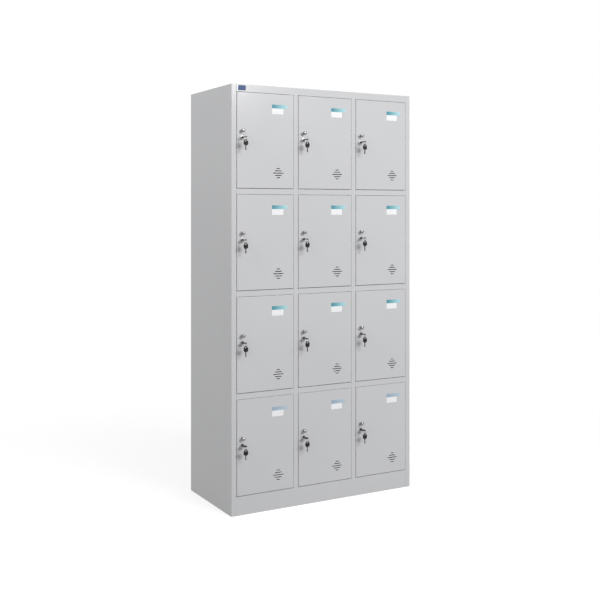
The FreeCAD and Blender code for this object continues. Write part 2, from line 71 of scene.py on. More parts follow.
# the middle of the badge on the fascia, in the shared frame
BADGE_X, BADGE_Z = -408.5, 1815.5

# the cam's two faces behind the front of the door, where the plug ends on the first, and its
# outline round the lock's axis
CAM_FRONT, CAM_BACK = 19.2, 21.2
CAM_OUTLINE = [(-7, 4.5), (-4.5, 7), (4.5, 7), (7, 4.5), (5, -27.5), (2.5, -30), (-2.5, -30), (-5, -27.5)]

# a key, from the hole in its head: half the head's width, the end behind the hole, the whole
# head's length, its corners' cuts, half its thickness and the floor of its sunk panels
HEAD_HALF, HEAD_INSET, HEAD_LENGTH = 10.5, 6.3, 26.0
HEAD_CORNER, SHOULDER_CORNER = 8.0, 5.0
HEAD_HALF_THICK, PANEL_FLOOR = 1.2, 0.55
PANELS = (
    [(-8.1, 6.6), (-1.9, 5.4), (-1.9, 17.2), (-8.1, 15.2)],
    [(1.9, 5.4), (8.1, 6.6), (8.1, 15.2), (1.9, 17.2)],
)
SHOULDER = HEAD_LENGTH - HEAD_INSET
HOLE_RADIUS = 4.0
SPARE_HOLE_RADIUS, SPARE_HOLE_RISE = 3.25, 0.45

# the split ring hangs from the hole of the key in the lock, its middle at a slant from that hole,
# and the spare key hangs from the ring; the CAD's holes have eight sides
HOLE_OUT = 30.7
RING_RADIUS, RING_WIRE, RING_SLANT = 8.6, 1.6, math.radians(50)
SPARE_PLAY, HOLE_FLAT = 0.3, HOLE_RADIUS * math.cos(math.pi / 8)
RING_OUT = HOLE_OUT + RING_RADIUS * math.sin(RING_SLANT)
RING_DROP = RING_RADIUS * math.cos(RING_SLANT)
SPARE_DROP = RING_DROP + RING_RADIUS - RING_WIRE / 2 + HOLE_FLAT - SPARE_PLAY

# turns of a mesh about X: one brings its +Z to the front, the other brings it into the door
TO_FRONT = Matrix.Rotation(math.radians(90), 4, "X")
INTO_DOOR = Matrix.Rotation(math.radians(-90), 4, "X")
# the second turn again, for an object: it also hangs a key with its shoulder down
TIPPED = (math.radians(-90), 0, 0)

# ---------------------------------------------------------------- camera, in metres
# place, heading and lens are fitted to the cabinet's corners in the photograph
CAMERA_PLACE, CAMERA_HEADING = (-2.146, FRONT_Y - 3.711, 1.294), -29.84
camera_data = bpy.data.cameras.new("camera")
camera_data.sensor_width = 36
camera_data.lens = 57.70
camera_data.shift_x = -0.0365
camera_data.shift_y = -0.1492
camera = bpy.data.objects.new("camera", camera_data)
camera.location = CAMERA_PLACE
camera.rotation_euler = (math.radians(90), 0, math.radians(CAMERA_HEADING))
scene.collection.objects.link(camera)
scene.camera = camera


# ---------------------------------------------------------------- materials
def new_material(name, colour, roughness, metallic=0.0, **sockets):
    """A material with a Principled shader, its uniform values on the shader's own sockets."""
    material = bpy.data.materials.new(name)
    material.use_nodes = True
    shader = material.node_tree.nodes["Principled BSDF"]
    shader.inputs["Base Color"].default_value = (*colour, 1)
    shader.inputs["Roughness"].default_value = roughness
    shader.inputs["Metallic"].default_value = metallic
    for socket, value in sockets.items():
        shader.inputs[socket.replace("_", " ")].default_value = value
    return material, shader


def node(material, kind, **values):
    """A node with properties and input values; an input's value may be another node's output."""
    made = material.node_tree.nodes.new(kind)
    for key, value in values.items():
        if hasattr(made, key):
            setattr(made, key, value)
            continue
        socket = made.inputs[key.replace("_", " ")]
        if isinstance(value, bpy.types.NodeSocket):
            material.node_tree.links.new(value, socket)
        else:
            socket.default_value = value
    return made


def link(material, output, socket):
    material.node_tree.links.new(output, socket)


def noise(material, scale, detail=3.0, stretch=None):
    """Noise in the piece's own space, its features about 1 / scale metres across."""
    place = node(material, "ShaderNodeTexCoord").outputs["Object"]
    if stretch:
        place = node(material, "ShaderNodeMapping", Vector=place, Scale=stretch).outputs["Vector"]
    texture = node(material, "ShaderNodeTexNoise", Vector=place, Scale=scale, Detail=detail)
    return texture.outputs["Fac"]


def ramp(material, factor, low, high, start=0.3, end=0.7):
    """Colours or greys from low to high as the factor goes from start to end."""
    made = node(material, "ShaderNodeValToRGB", Fac=factor)
    made.color_ramp.elements[0].position = start
    made.color_ramp.elements[1].position = end
    made.color_ramp.elements[0].color = (*low, 1)
    made.color_ramp.elements[1].color = (*high, 1)
    return made.outputs["Color"]


def grey(value):
    return (value, value, value)


def colour_from(material, shader, output):
    link(material, output, shader.inputs["Base Color"])


def roughness_from(material, shader, factor, low, high):
    """Roughness that wanders between two values."""
    link(material, ramp(material, factor, grey(low), grey(high)), shader.inputs["Roughness"])


def bump(material, shader, height, strength, distance):
    made = node(material, "ShaderNodeBump", Height=height, Strength=strength, Distance=distance)
    link(material, made.outputs["Normal"], shader.inputs["Normal"])


def powder_coat():
    """Satin light grey powder coat with its fine orange peel and faint cloudiness."""
    material, shader = new_material(
        "powder_coat", (0.575, 0.578, 0.590), roughness=0.17, IOR=1.5, Specular_IOR_Level=0.46)
    cloud = noise(material, scale=2.2, detail=2.0)
    paint = ramp(material, cloud, (0.566, 0.570, 0.583), (0.584, 0.587, 0.598))
    colour_from(material, shader, paint)
    roughness_from(material, shader, noise(material, scale=9.0), 0.155, 0.185)
    bump(material, shader, noise(material, scale=420.0, detail=2.0), strength=0.12, distance=0.0001)
    return material


def plated(name, colour, rough_low, rough_high, grain, strength, stretch=None):
    """Plated or bare metal with faint tarnish, marks in its roughness and a fine grain."""
    material, shader = new_material(name, colour, roughness=rough_high, metallic=1.0)
    marks = noise(material, scale=180.0, detail=4.0)
    roughness_from(material, shader, marks, rough_low, rough_high)
    duller = [0.86 * value for value in colour]
    colour_from(material, shader, ramp(material, noise(material, scale=260.0), duller, colour))
    bump(material, shader, noise(material, grain, stretch=stretch), strength, distance=0.00005)
    return material


def moulded(name, colour, lighter, roughness, grain):
    """Moulded plastic with a fine grain and faint flow marks."""
    material, shader = new_material(name, colour, roughness, Specular_IOR_Level=0.2)
    wear = noise(material, scale=300.0)
    roughness_from(material, shader, wear, roughness - 0.05, roughness + 0.05)
    colour_from(material, shader, ramp(material, noise(material, scale=120.0, detail=2.0), colour, lighter))
    bump(material, shader, noise(material, grain, detail=2.0), strength=0.12, distance=0.00008)
    return material


def printed(name, left, right, roughness=0.45):
    """Printed band whose colour runs gently from its left end to its right."""
    material, shader = new_material(name, left, roughness, Specular_IOR_Level=0.2)
    wear = noise(material, scale=200.0)
    roughness_from(material, shader, wear, roughness - 0.06, roughness + 0.06)
    place = node(material, "ShaderNodeTexCoord").outputs["Object"]
    across = node(material, "ShaderNodeSeparateXYZ", Vector=place).outputs["X"]
    half = BAND_SIZE[0] / 2 * MM
    share = node(material, "ShaderNodeMapRange", Value=across, From_Min=-half, From_Max=half)
    colour_from(material, shader, ramp(material, share.outputs["Result"], left, right, start=0.1, end=0.95))
    bump(material, shader, noise(material, scale=2500.0, detail=2.0), strength=0.05, distance=0.00003)
    return material


def card_stock():
    """White card with a faint fibre."""
    material, shader = new_material("card_stock", (0.86, 0.865, 0.88), roughness=0.6, Specular_IOR_Level=0.2)
    roughness_from(material, shader, noise(material, scale=700.0, detail=4.0), 0.52, 0.68)
    paper = ramp(material, noise(material, scale=900.0), (0.845, 0.85, 0.865), (0.875, 0.88, 0.895))
    colour_from(material, shader, paper)
    bump(material, shader, noise(material, scale=3000.0, detail=2.0), strength=0.1, distance=0.00004)
    return material


PAINT = powder_coat()
CHROME = plated("chrome", (0.40, 0.40, 0.41), rough_low=0.28, rough_high=0.38, grain=900.0, strength=0.05)
# painted dark reflection: the knob's chrome is greyed down to stand in for the dark surroundings it would
# mirror
KNOB_CHROME_PAINTED_DARK = plated(
    "chrome_painted_dark_reflection", (0.28, 0.28, 0.285), rough_low=0.12, rough_high=0.20, grain=900.0, strength=0.05)
# painted dark reflection: the blades' and ring's nickel is greyed down to stand in for the dark surroundings
# it would mirror
NICKEL_PAINTED_DARK = plated(
    "nickel_painted_dark_reflection", (0.17, 0.168, 0.164), rough_low=0.12, rough_high=0.20, grain=2200.0, strength=0.12,
    stretch=(1, 0.1, 1))
# near-black plug steel: partly the plug's own dark metal, partly painted shade and dark reflection under the
# key's head
PLUG_STEEL_PAINTED_SHADE = plated(
    "plug_steel_painted_shade", (0.075, 0.074, 0.072), rough_low=0.22, rough_high=0.34, grain=2200.0, strength=0.12)
ZINC = plated("zinc_plate", (0.42, 0.43, 0.44), rough_low=0.30, rough_high=0.48, grain=700.0, strength=0.2)
BLACK = moulded(
    "black_plastic", (0.018, 0.018, 0.019), lighter=(0.026, 0.026, 0.027), roughness=0.40, grain=1800.0)
# painted shade: the sunk panels' floors are a darker black than the rim, shade painted into the recesses on
# a rougher matte plastic
SUNK_BLACK_PAINTED_SHADE = moulded(
    "sunk_black_plastic_painted_shade", (0.005, 0.005, 0.006), lighter=(0.009, 0.009, 0.010), roughness=0.60, grain=1200.0)
CARD = card_stock()
TEAL = printed("teal_band", (0.080, 0.295, 0.36), (0.42, 0.70, 0.75))
PALE = printed("pale_band", (0.33, 0.43, 0.53), (0.48, 0.57, 0.65))
BADGE = moulded(
    "blue_enamel", (0.058, 0.092, 0.22), lighter=(0.070, 0.108, 0.25), roughness=0.5, grain=900.0)


# ---------------------------------------------------------------- mesh helpers
# edges sharper than this angle, in degrees, are shaded as edges
SHARP = 32.0
# how far apart two heights may be and still be one level, in metres
LEVEL = 1e-7


def finished(name, bm, material, sharp=SHARP):
    """The mesh of a bmesh, smooth shaded up to an angle in degrees."""
    bmesh.ops.recalc_face_normals(bm, faces=bm.faces)
    mesh = bpy.data.meshes.new(name)
    bm.to_mesh(mesh)
    bm.free()
    mesh.shade_smooth()
    mesh.set_sharp_from_angle(angle=math.radians(sharp))
    mesh.materials.append(material)
    return mesh


def around(count):
    """The angles of one turn in equal steps."""
    return [2 * math.pi * i / count for i in range(count)]


def polygon(radius, count):
    """The corners of a regular polygon, the first on +X."""
    return [(radius * math.cos(a), radius * math.sin(a)) for a in around(count)]


def bridge(bm, one, two):
    """Faces between two rings that have the same number of vertices."""
    for i in range(len(one)):
        j = (i + 1) % len(one)
        bm.faces.new((one[i], one[j], two[j], two[i]))


def turned(name, profile, material, segments=48, closed=False, sharp=SHARP):
    """A lathe piece with its axis along Y: profile is (radius, distance out of the door), in mm."""
    bm = bmesh.new()
    rings = []
    for radius, out in profile:
        y = -out * MM
        if radius == 0:
            rings.append([bm.verts.new((0, y, 0))])
            continue
        r = radius * MM
        rings.append([bm.verts.new((r * math.cos(a), y, r * math.sin(a))) for a in around(segments)])
    pairs = list(zip(rings, rings[1:])) + ([(rings[-1], rings[0])] if closed else [])
    for one, two in pairs:
        for i in range(segments):
            j = (i + 1) % segments
            corners = [one[i % len(one)], one[j % len(one)], two[j % len(two)], two[i % len(two)]]
            bm.faces.new(list(dict.fromkeys(corners)))
    return finished(name, bm, material, sharp)


def plate(bm, points, low, high, edge=0.0, segments=3):
    """A plate in the XY plane between two heights, its rims rounded by edge, in mm."""
    face = bm.faces.new([bm.verts.new((x * MM, y * MM, low * MM)) for x, y in points])
    made = bmesh.ops.extrude_face_region(bm, geom=[face])
    top = [v for v in made["geom"] if isinstance(v, bmesh.types.BMVert)]
    bmesh.ops.translate(bm, verts=top, vec=(0, 0, (high - low) * MM))
    if edge:
        rim = [e for e in bm.edges if abs(e.verts[0].co.z - e.verts[1].co.z) < LEVEL and e.is_manifold]
        bmesh.ops.bevel(
            bm, geom=rim, offset=edge * MM, segments=segments, profile=0.5, affect="EDGES")


def rounded(points, radius, steps=5):
    """A closed outline with its corners rounded, by less than half of either side next to them."""
    out = []
    for i, point in enumerate(points):
        here = Vector(point)
        back = Vector(points[i - 1]) - here
        ahead = Vector(points[(i + 1) % len(points)]) - here
        reach = min(radius, back.length / 2.05, ahead.length / 2.05)
        start, end = here + back.normalized() * reach, here + ahead.normalized() * reach
        for s in range(steps + 1):
            t = s / steps
            out.append(tuple((1 - t) ** 2 * start + 2 * t * (1 - t) * here + t * t * end))
    return out


def carved(mesh, *cutters):
    """The mesh with solids cut from it, which leave their material on the cuts."""
    body = bpy.data.objects.new("carving", mesh)
    scene.collection.objects.link(body)
    tools = []
    for cutter in cutters:
        tool = bpy.data.objects.new("cutter", cutter)
        scene.collection.objects.link(tool)
        cut = body.modifiers.new("cut", "BOOLEAN")
        cut.object = tool
        cut.operation = "DIFFERENCE"
        cut.solver = "EXACT"
        cut.material_mode = "TRANSFER"
        tools.append(tool)
    bpy.context.view_layer.update()
    depsgraph = bpy.context.evaluated_depsgraph_get()
    result = bpy.data.meshes.new_from_object(body.evaluated_get(depsgraph))
    result.name = mesh.name
    for used in [body] + tools:
        bpy.data.objects.remove(used)
    result.shade_smooth()
    result.set_sharp_from_angle(angle=math.radians(SHARP))
    return result


def block(name, low, high, material):
    """A plain box, used as a cutter; corners in mm."""
    bm = bmesh.new()
    bmesh.ops.create_cube(bm, size=1)
    size = [(b - a) * MM for a, b in zip(low, high)]
    middle = [(a + b) / 2 * MM for a, b in zip(low, high)]
    fitted = Matrix.Translation(middle) @ Matrix.Diagonal((*size, 1))
    bmesh.ops.transform(bm, matrix=fitted, verts=bm.verts)
    return finished(name, bm, material)


# ---------------------------------------------------------------- lock, knob, keys
def knob_mesh():
    """Pull knob: a head with a fine groove round its domed face, a neck and a foot on the door."""
    profile = [
        (0, 20.0), (3.1, 19.95), (4.9, 19.75), (5.2, 19.45), (5.45, 19.4), (5.7, 19.6), (6.3, 19.35),
        (6.9, 18.8), (7.3, 18.0), (7.45, 17.1), (7.45, 14.2), (7.3, 13.3), (6.8, 12.5), (6.0, 12.0),
        (4.9, 11.3), (4.3, 10.2), (4.1, 8.6), (4.1, 4.6), (4.4, 3.2), (5.0, 2.2), (5.9, 1.7), (6.4, 1.4),
        (6.6, 1.0), (6.6, 0.0), (0, 0.0),
    ]
    return turned("knob", profile, KNOB_CHROME_PAINTED_DARK, segments=56, sharp=50)


def housing_mesh():
    """Lock housing: stepped flange, and a body grooved like a thread and bored for the plug."""
    pitch, grooves, crest, root, thread_start = 1.25, 13, 7.99, 7.45, -0.8
    profile = [
        (6.06, 3.85), (6.25, 4.0), (7.9, 4.0), (8.35, 3.85), (8.6, 3.5), (8.7, 2.9), (9.2, 2.6),
        (9.7, 2.3), (9.95, 1.9), (10.0, 1.4), (10.0, 0.25), (9.8, 0.0), (8.0, 0.0), (8.0, thread_start),
    ]
    for i in range(grooves):
        top = thread_start - i * pitch
        profile += [(crest, top - 0.25), (root, top - pitch / 2 - 0.1), (crest, top - pitch)]
    profile += [(7.3, -17.7), (7.1, -18.0), (6.2, -18.0), (6.06, -17.8)]
    return turned("lock_housing", profile, CHROME, closed=True)


def nut_mesh():
    """Thin hexagon nut behind the door's face sheet."""
    bm = bmesh.new()
    outline = rounded(polygon(11.4, 6), radius=0.8, steps=3)
    plate(bm, outline, low=0, high=3.0, edge=0.35, segments=2)
    body = finished("lock_nut", bm, ZINC)
    hole = turned("hole", [(0, 2), (8.02, 2), (8.02, -6), (0, -6)], ZINC, segments=40)
    hole.transform(TO_FRONT)
    made = carved(body, hole)
    made.transform(INTO_DOOR)
    return made


def plug_mesh():
    """Lock plug with its keyway, from its face to the cam."""
    profile = [(0, 4.4), (5.5, 4.4), (5.85, 4.25), (6.0, 3.95), (6.0, -CAM_FRONT), (0, -CAM_FRONT)]
    # the plug's near-black face carries painted shade and dark reflection under the key
    body = turned("lock_plug", profile, PLUG_STEEL_PAINTED_SHADE)
    keyway = block("slot", (-3.1, -7, -1.1), (3.1, 10, 1.1), PLUG_STEEL_PAINTED_SHADE)
    return carved(body, keyway)


def cam_mesh():
    """Cam plate with rounded rims, hanging down from the lock's axis."""
    bm = bmesh.new()
    outline = rounded(CAM_OUTLINE, radius=2.4)
    plate(bm, outline, low=CAM_FRONT, high=CAM_BACK, edge=0.3, segments=2)
    mesh = finished("cam", bm, ZINC)
    # up stays up and the thickness goes into the door, which mirrors the plate
    mesh.transform(TO_FRONT @ Matrix.Diagonal((1, 1, -1, 1)))
    mesh.flip_normals()
    return mesh


def cam_screw_mesh():
    """Hexagon screw head, lying on its underside."""
    bm = bmesh.new()
    outline = rounded(polygon(4.6, 6), radius=0.5, steps=2)
    plate(bm, outline, low=0, high=3.2, edge=0.4, segments=2)
    return finished("cam_screw", bm, ZINC)


def knob_screw_mesh():
    """Domed screw head with a cross in it, lying on its underside."""
    radius, height, depth = 3.4, 2.0, 1.0
    profile = [
        (0, height), (radius * 0.55, height * 0.93), (radius * 0.85, height * 0.66),
        (radius, height * 0.2), (radius, 0), (0, 0),
    ]
    body = turned("knob_screw", profile, ZINC, segments=28, sharp=50)
    body.transform(INTO_DOOR)
    arm, half = radius * 0.62, 0.35
    cross = [
        (arm, -half), (arm, half), (half, half), (half, arm), (-half, arm), (-half, half),
        (-arm, half), (-arm, -half), (-half, -half), (-half, -arm), (half, -arm), (half, -half),
    ]
    bm = bmesh.new()
    plate(bm, cross, low=height - depth, high=height + 1)
    return carved(body, finished("cross", bm, ZINC))


def key_head_mesh(hole_radius, rise):
    """Key head with its shoulder towards +Y: a rim round sunk panels, with a spine between them.

    The hole is at the origin, or further from the shoulder by rise.
    """
    half, corner, low_corner = HEAD_HALF, HEAD_CORNER, SHOULDER_CORNER
    outline = [
        (corner - half, -HEAD_INSET), (half - corner, -HEAD_INSET), (half, corner - HEAD_INSET),
        (half, SHOULDER - low_corner), (half - low_corner, SHOULDER), (low_corner - half, SHOULDER),
        (-half, SHOULDER - low_corner), (-half, corner - HEAD_INSET),
    ]
    bm = bmesh.new()
    plate(bm, rounded(outline, radius=3.4, steps=6), -HEAD_HALF_THICK, HEAD_HALF_THICK, edge=0.55)
    body = finished("key_head", bm, BLACK)
    hole = turned("hole", [(0, 4), (hole_radius, 4), (hole_radius, -4), (0, -4)], BLACK, segments=32)
    hole.transform(Matrix.Translation((0, -rise * MM, 0)) @ TO_FRONT)
    cutters = [hole]
    for side in (-1, 1):
        low, high = sorted((side * PANEL_FLOOR, side * 3.0))
        # the cut panels leave the darker black on their floors: painted shade in the recesses
        for panel in PANELS:
            bm = bmesh.new()
            plate(bm, rounded(panel, radius=1.2, steps=3), low, high)
            cutters.append(finished("panel", bm, SUNK_BLACK_PAINTED_SHADE))
    return carved(body, *cutters)


def blade_mesh():
    """Key blade with its cuts on one edge and a milled groove on each side."""
    half, start, tip = 3.0, SHOULDER - 1.0, SHOULDER + 20
    first_cut, cut_pitch, cut_depths = 3.2, 2.9, (0.9, 1.7, 0.6, 1.4, 1.0)
    cut_edge = [(half, start)]
    level = start + first_cut
    for depth in cut_depths:
        cut_edge += [(half - 0.15, level), (half - depth, level + 1.0), (half - depth, level + 1.5)]
        level += cut_pitch
    cut_edge += [(half - 0.2, level + 0.4), (0.9, tip)]
    outline = cut_edge + [(-1.4, tip), (-half, tip - 1.8), (-half, start)]
    bm = bmesh.new()
    plate(bm, outline, low=-0.95, high=0.95, edge=0.12, segments=1)
    body = finished("key_blade", bm, NICKEL_PAINTED_DARK)
    grooves = []
    for side in (-1, 1):
        low, high = sorted((side * 0.5, side * 2.0))
        grooves.append(block("groove", (-1.7, SHOULDER + 0.6, low), (-0.5, tip + 1, high), NICKEL_PAINTED_DARK))
    return carved(body, *grooves)


def ring_mesh():
    """Split ring: two turns of flat wire side by side, with its ends a step apart."""
    bm = bmesh.new()
    steps, turns, first_angle = 44, 2, math.radians(200)
    half_thick, half_wide = 0.70, 0.37
    half_pitch, crossing = 0.4, 0.09
    wire = ((-1, -1), (-0.55, -1), (0.55, -1), (1, -0.6), (1, 0.6), (0.55, 1), (-0.55, 1), (-1, 0.6))
    sections = []
    for i in range(steps * turns + 1):
        angle = 2 * math.pi * i / steps + first_angle
        shift = half_pitch * max(-1, min(1, (i / steps - 1) / crossing))
        section = []
        for radial, across in wire:
            radius = (RING_RADIUS + radial * half_thick) * MM
            x = (shift + across * half_wide) * MM
            section.append(bm.verts.new((x, radius * math.cos(angle), radius * math.sin(angle))))
        sections.append(section)
    for one, two in zip(sections, sections[1:]):
        bridge(bm, one, two)
    bm.faces.new(sections[0])
    bm.faces.new(reversed(sections[-1]))
    return finished("split_ring", bm, NICKEL_PAINTED_DARK, sharp=45)


def pins_mesh(width, height):
    """The door's two stub pins with chamfered ends, from the door's latch-side foot."""
    bm = bmesh.new()
    profile = (
        (PIN_RADIUS, 0.0), (PIN_RADIUS, PIN_LENGTH - PIN_CHAMFER), (PIN_RADIUS - PIN_CHAMFER, PIN_LENGTH))
    for low, direction in ((0.0, -1), (height, 1)):
        rings = []
        for radius, along in profile:
            z = (low + direction * along) * MM
            rings.append([
                bm.verts.new(((width - PIN_INSET + x) * MM, (PIN_INSET + y) * MM, z))
                for x, y in polygon(radius, 24)
            ])
        for one, two in zip(rings, rings[1:]):
            bridge(bm, one, two)
        bm.faces.new(rings[0])
        bm.faces.new(rings[-1])
    return finished("pivot_pins", bm, ZINC)


def label_mesh(name, size, corner, material):
    """A thin film or card facing the front, its middle at the origin and its back at y = 0."""
    bm = bmesh.new()
    w, h, thick = size[0] / 2, size[1] / 2, size[2]
    outline = rounded([(-w, -h), (w, -h), (w, h), (-w, h)], corner, steps=4)
    plate(bm, outline, low=0, high=thick, edge=min(0.12, thick / 3), segments=1)
    mesh = finished(name, bm, material)
    mesh.transform(TO_FRONT)
    return mesh


# ---------------------------------------------------------------- the door pan
def pan_surface(width, height):
    """The pan's outer surface with sharp folds, each edge weighted by its rounding."""
    wide = width + HINGE_REACH
    places = [
        (0, 0, 0), (wide, 0, 0), (wide, 0, height), (0, 0, height),
        (0, DOOR_DEPTH, 0), (wide, DOOR_DEPTH, 0), (wide, DOOR_DEPTH, height), (0, DOOR_DEPTH, height),
        (DOOR_RETURN, DOOR_DEPTH, 0), (DOOR_RETURN, DOOR_DEPTH, height),
        (wide - DOOR_RETURN, DOOR_DEPTH, 0), (wide - DOOR_RETURN, DOOR_DEPTH, height),
    ]
    face, latch, hinge = (0, 1, 2, 3), (0, 3, 7, 4), (1, 5, 6, 2)
    foot, head = (0, 4, 8, 10, 5, 1), (3, 2, 6, 11, 9, 7)
    returns = [(4, 7, 9, 8), (5, 10, 11, 6)]
    folds = {
        (1, 2): HINGE_FOLD, (0, 3): FOLD, (0, 1): FOLD, (2, 3): FOLD, (4, 7): FOLD, (5, 6): FOLD,
        (0, 4): WELD, (1, 5): WELD, (2, 6): WELD, (3, 7): WELD,
        (4, 8): WELD, (5, 10): WELD, (6, 11): WELD, (7, 9): WELD,
    }
    bm = bmesh.new()
    v = [bm.verts.new([c * MM for c in place]) for place in places]
    for corners in [face, latch, hinge, foot, head] + returns:
        bm.faces.new([v[i] for i in corners])
    mesh = bpy.data.meshes.new("door_pan")
    bmesh.ops.recalc_face_normals(bm, faces=bm.faces)
    bm.to_mesh(mesh)
    bm.free()
    weights = mesh.attributes.new("bevel_weight_edge", "FLOAT", "EDGE")
    for edge in mesh.edges:
        weights.data[edge.index].value = folds.get(tuple(sorted(edge.vertices)), 0) / HINGE_FOLD
    return mesh


def bent(surface):
    """The sheet of a surface, its folds rounded and its thickness laid inward."""
    pan = bpy.data.objects.new("bending", surface)
    scene.collection.objects.link(pan)
    fold = pan.modifiers.new("fold", "BEVEL")
    fold.limit_method = "WEIGHT"
    fold.width = HINGE_FOLD * MM
    fold.segments = 5
    wall = pan.modifiers.new("wall", "SOLIDIFY")
    wall.thickness = SHEET * MM
    wall.offset = -1
    wall.use_even_offset = True
    wall.use_quality_normals = True
    bpy.context.view_layer.update()
    depsgraph = bpy.context.evaluated_depsgraph_get()
    sheet = bpy.data.meshes.new_from_object(pan.evaluated_get(depsgraph))
    bpy.data.objects.remove(pan)
    sheet.materials.append(PAINT)
    return sheet


def door_cuts():
    """Solids through the pan's face: the vent slots and the lock's hole."""
    bm = bmesh.new()
    middle, half = (len(VENT_LENGTHS) - 1) / 2, VENT_HEIGHT / 2
    for index, length in enumerate(VENT_LENGTHS):
        level = VENT_MIDDLE.z + (middle - index) * VENT_PITCH
        left, right = VENT_MIDDLE.x - length / 2, VENT_MIDDLE.x + length / 2
        slot = [(left, level - half), (right, level - half), (right, level + half), (left, level + half)]
        plate(bm, rounded(slot, VENT_CORNER, steps=4), low=-3, high=3)
    plate(bm, [(LOCK.x + x, LOCK.z + y) for x, y in polygon(LOCK_HOLE, 40)], low=-3, high=3)
    mesh = finished("door_cuts", bm, PAINT)
    mesh.transform(TO_FRONT)
    return mesh


def door_mesh(width, height):
    """Door pan of bent sheet with its vents and lock hole, from its latch-side foot."""
    return carved(bent(pan_surface(width, height)), door_cuts())


# ---------------------------------------------------------------- pieces in their places
def put(name, mesh, body, place, turn=(0, 0, 0), replaces=None):
    """An object of a mesh at a place in the shared frame, riding on a body."""
    piece = bpy.data.objects.new(name, mesh)
    scene.collection.objects.link(piece)
    piece.location = place
    piece.rotation_euler = turn
    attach(piece, body)
    if replaces:
        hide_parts(replaces)
    return piece


def inward(depth):
    """A step into the door by a depth in mm."""
    return Vector((0, depth * MM, 0))


def outward_and_down(out, drop):
    """A step out of the door and down, in mm."""
    return Vector((0, -out * MM, -drop * MM))


# the cabinet and the door nodes are painted; each door node is then replaced by its finer pan
for name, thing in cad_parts.items():
    if name.startswith(("door_fittings", "lock_plug", "spare_key")):
        continue
    thing.data.materials.clear()
    thing.data.materials.append(PAINT)

low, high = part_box("door_r1c1")
DOOR_WIDTH, DOOR_HEIGHT = (high.x - low.x) / MM, (high.z - low.z) / MM

PAN = door_mesh(DOOR_WIDTH, DOOR_HEIGHT)
PINS = pins_mesh(DOOR_WIDTH, DOOR_HEIGHT)
KNOB_BODY, HOUSING, NUT, PLUG, CAM = knob_mesh(), housing_mesh(), nut_mesh(), plug_mesh(), cam_mesh()
CAM_SCREW, KNOB_SCREW = cam_screw_mesh(), knob_screw_mesh()
KEY_HEAD = key_head_mesh(HOLE_RADIUS, rise=0.0)
SPARE_HEAD = key_head_mesh(SPARE_HOLE_RADIUS, SPARE_HOLE_RISE)
KEY_BLADE, SPLIT_RING = blade_mesh(), ring_mesh()
LABEL_CARD = label_mesh("label_card", CARD_SIZE, CARD_CORNER, CARD)
TEAL_BAND = label_mesh("label_band", BAND_SIZE, BAND_CORNER, TEAL)
PALE_BAND = label_mesh("label_band_pale", BAND_SIZE, BAND_CORNER, PALE)


def dress_door(tag, band):
    """All the pieces of one door, its lock and its keys."""
    door, turning, hanging = "door_" + tag, "lock_" + tag, "spare_key_" + tag
    fittings, plug, keys = "door_fittings_" + tag, "lock_plug_" + tag, "spare_key_" + tag
    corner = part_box("door_" + tag)[0]
    lock, knob = corner + LOCK * MM, corner + KNOB * MM
    hole = lock + outward_and_down(HOLE_OUT, 0)
    ring = lock + outward_and_down(RING_OUT, RING_DROP)
    spare = lock + outward_and_down(RING_OUT, SPARE_DROP)

    # each door's pan has its place in its mesh, so that the paint's noise differs from door to door
    pan = PAN.copy()
    pan.transform(Matrix.Translation(corner))
    panel = put("door_panel_" + tag, pan, door, (0, 0, 0), replaces=door)
    normals = panel.modifiers.new("flat_faces", "WEIGHTED_NORMAL")
    normals.keep_sharp = True

    put("lock_housing_" + tag, HOUSING, door, lock, replaces=fittings)
    put("knob_" + tag, KNOB_BODY, door, knob, replaces=fittings)
    put("pivot_pins_" + tag, PINS, door, corner, replaces=fittings)
    put("lock_nut_" + tag, NUT, door, lock + inward(SHEET))
    put("knob_screw_" + tag, KNOB_SCREW, door, knob + inward(SHEET), turn=TIPPED)

    put("lock_plug_front_" + tag, PLUG, turning, lock, replaces=plug)
    put("cam_" + tag, CAM, turning, lock, replaces=plug)
    put("cam_screw_" + tag, CAM_SCREW, turning, lock + inward(CAM_BACK), turn=TIPPED)
    put("key_head_" + tag, KEY_HEAD, turning, hole, replaces=plug)
    put("key_blade_" + tag, KEY_BLADE, turning, hole, replaces=plug)

    put("split_ring_" + tag, SPLIT_RING, hanging, ring, replaces=keys)
    put("spare_head_" + tag, SPARE_HEAD, hanging, spare, turn=TIPPED, replaces=keys)
    put("spare_blade_" + tag, KEY_BLADE, hanging, spare, turn=TIPPED, replaces=keys)

    put("label_card_" + tag, LABEL_CARD, door, corner + CARD_PLACE * MM)
    put("label_band_" + tag, band, door, corner + BAND_PLACE * MM)


for row in range(1, ROWS + 1):
    for column in range(1, COLUMNS + 1):
        # the bands of the lowest row are paler in the photograph
        dress_door("r%dc%d" % (row, column), TEAL_BAND if row < ROWS else PALE_BAND)

badge_mesh = label_mesh("badge", BADGE_SIZE, BADGE_CORNER, BADGE)
put("fascia_badge", badge_mesh, "cabinet", (BADGE_X * MM, FRONT_Y, BADGE_Z * MM))


# ---------------------------------------------------------------- studio, in metres
WORLD_STRENGTH = 0.572
FLOOR_REACH = 14.0
# the floor's grey for the rays that light the object and for those that see it, its glow there,
# and how far from the middle it starts and ends its run into the white background
FLOOR_GREY, SEEN_GREY, FLOOR_GLOW = 0.135, 0.50, 0.60
FADE_START, FADE_END = 0.9, 2.4
# a Mix node's colour sockets: both inputs, and the output
MIX_ZERO, MIX_ONE, MIX_RESULT = 6, 7, 2


def area_light(name, place, aim, size, power):
    """A round lamp at a place, aimed at a point, with its width in metres and power in watts."""
    data = bpy.data.lights.new(name, "AREA")
    data.shape = "DISK"
    data.size = size
    data.energy = power
    lamp = bpy.data.objects.new(name, data)
    lamp.location = place
    lamp.rotation_euler = (Vector(aim) - Vector(place)).to_track_quat("-Z", "Y").to_euler()
    scene.collection.objects.link(lamp)


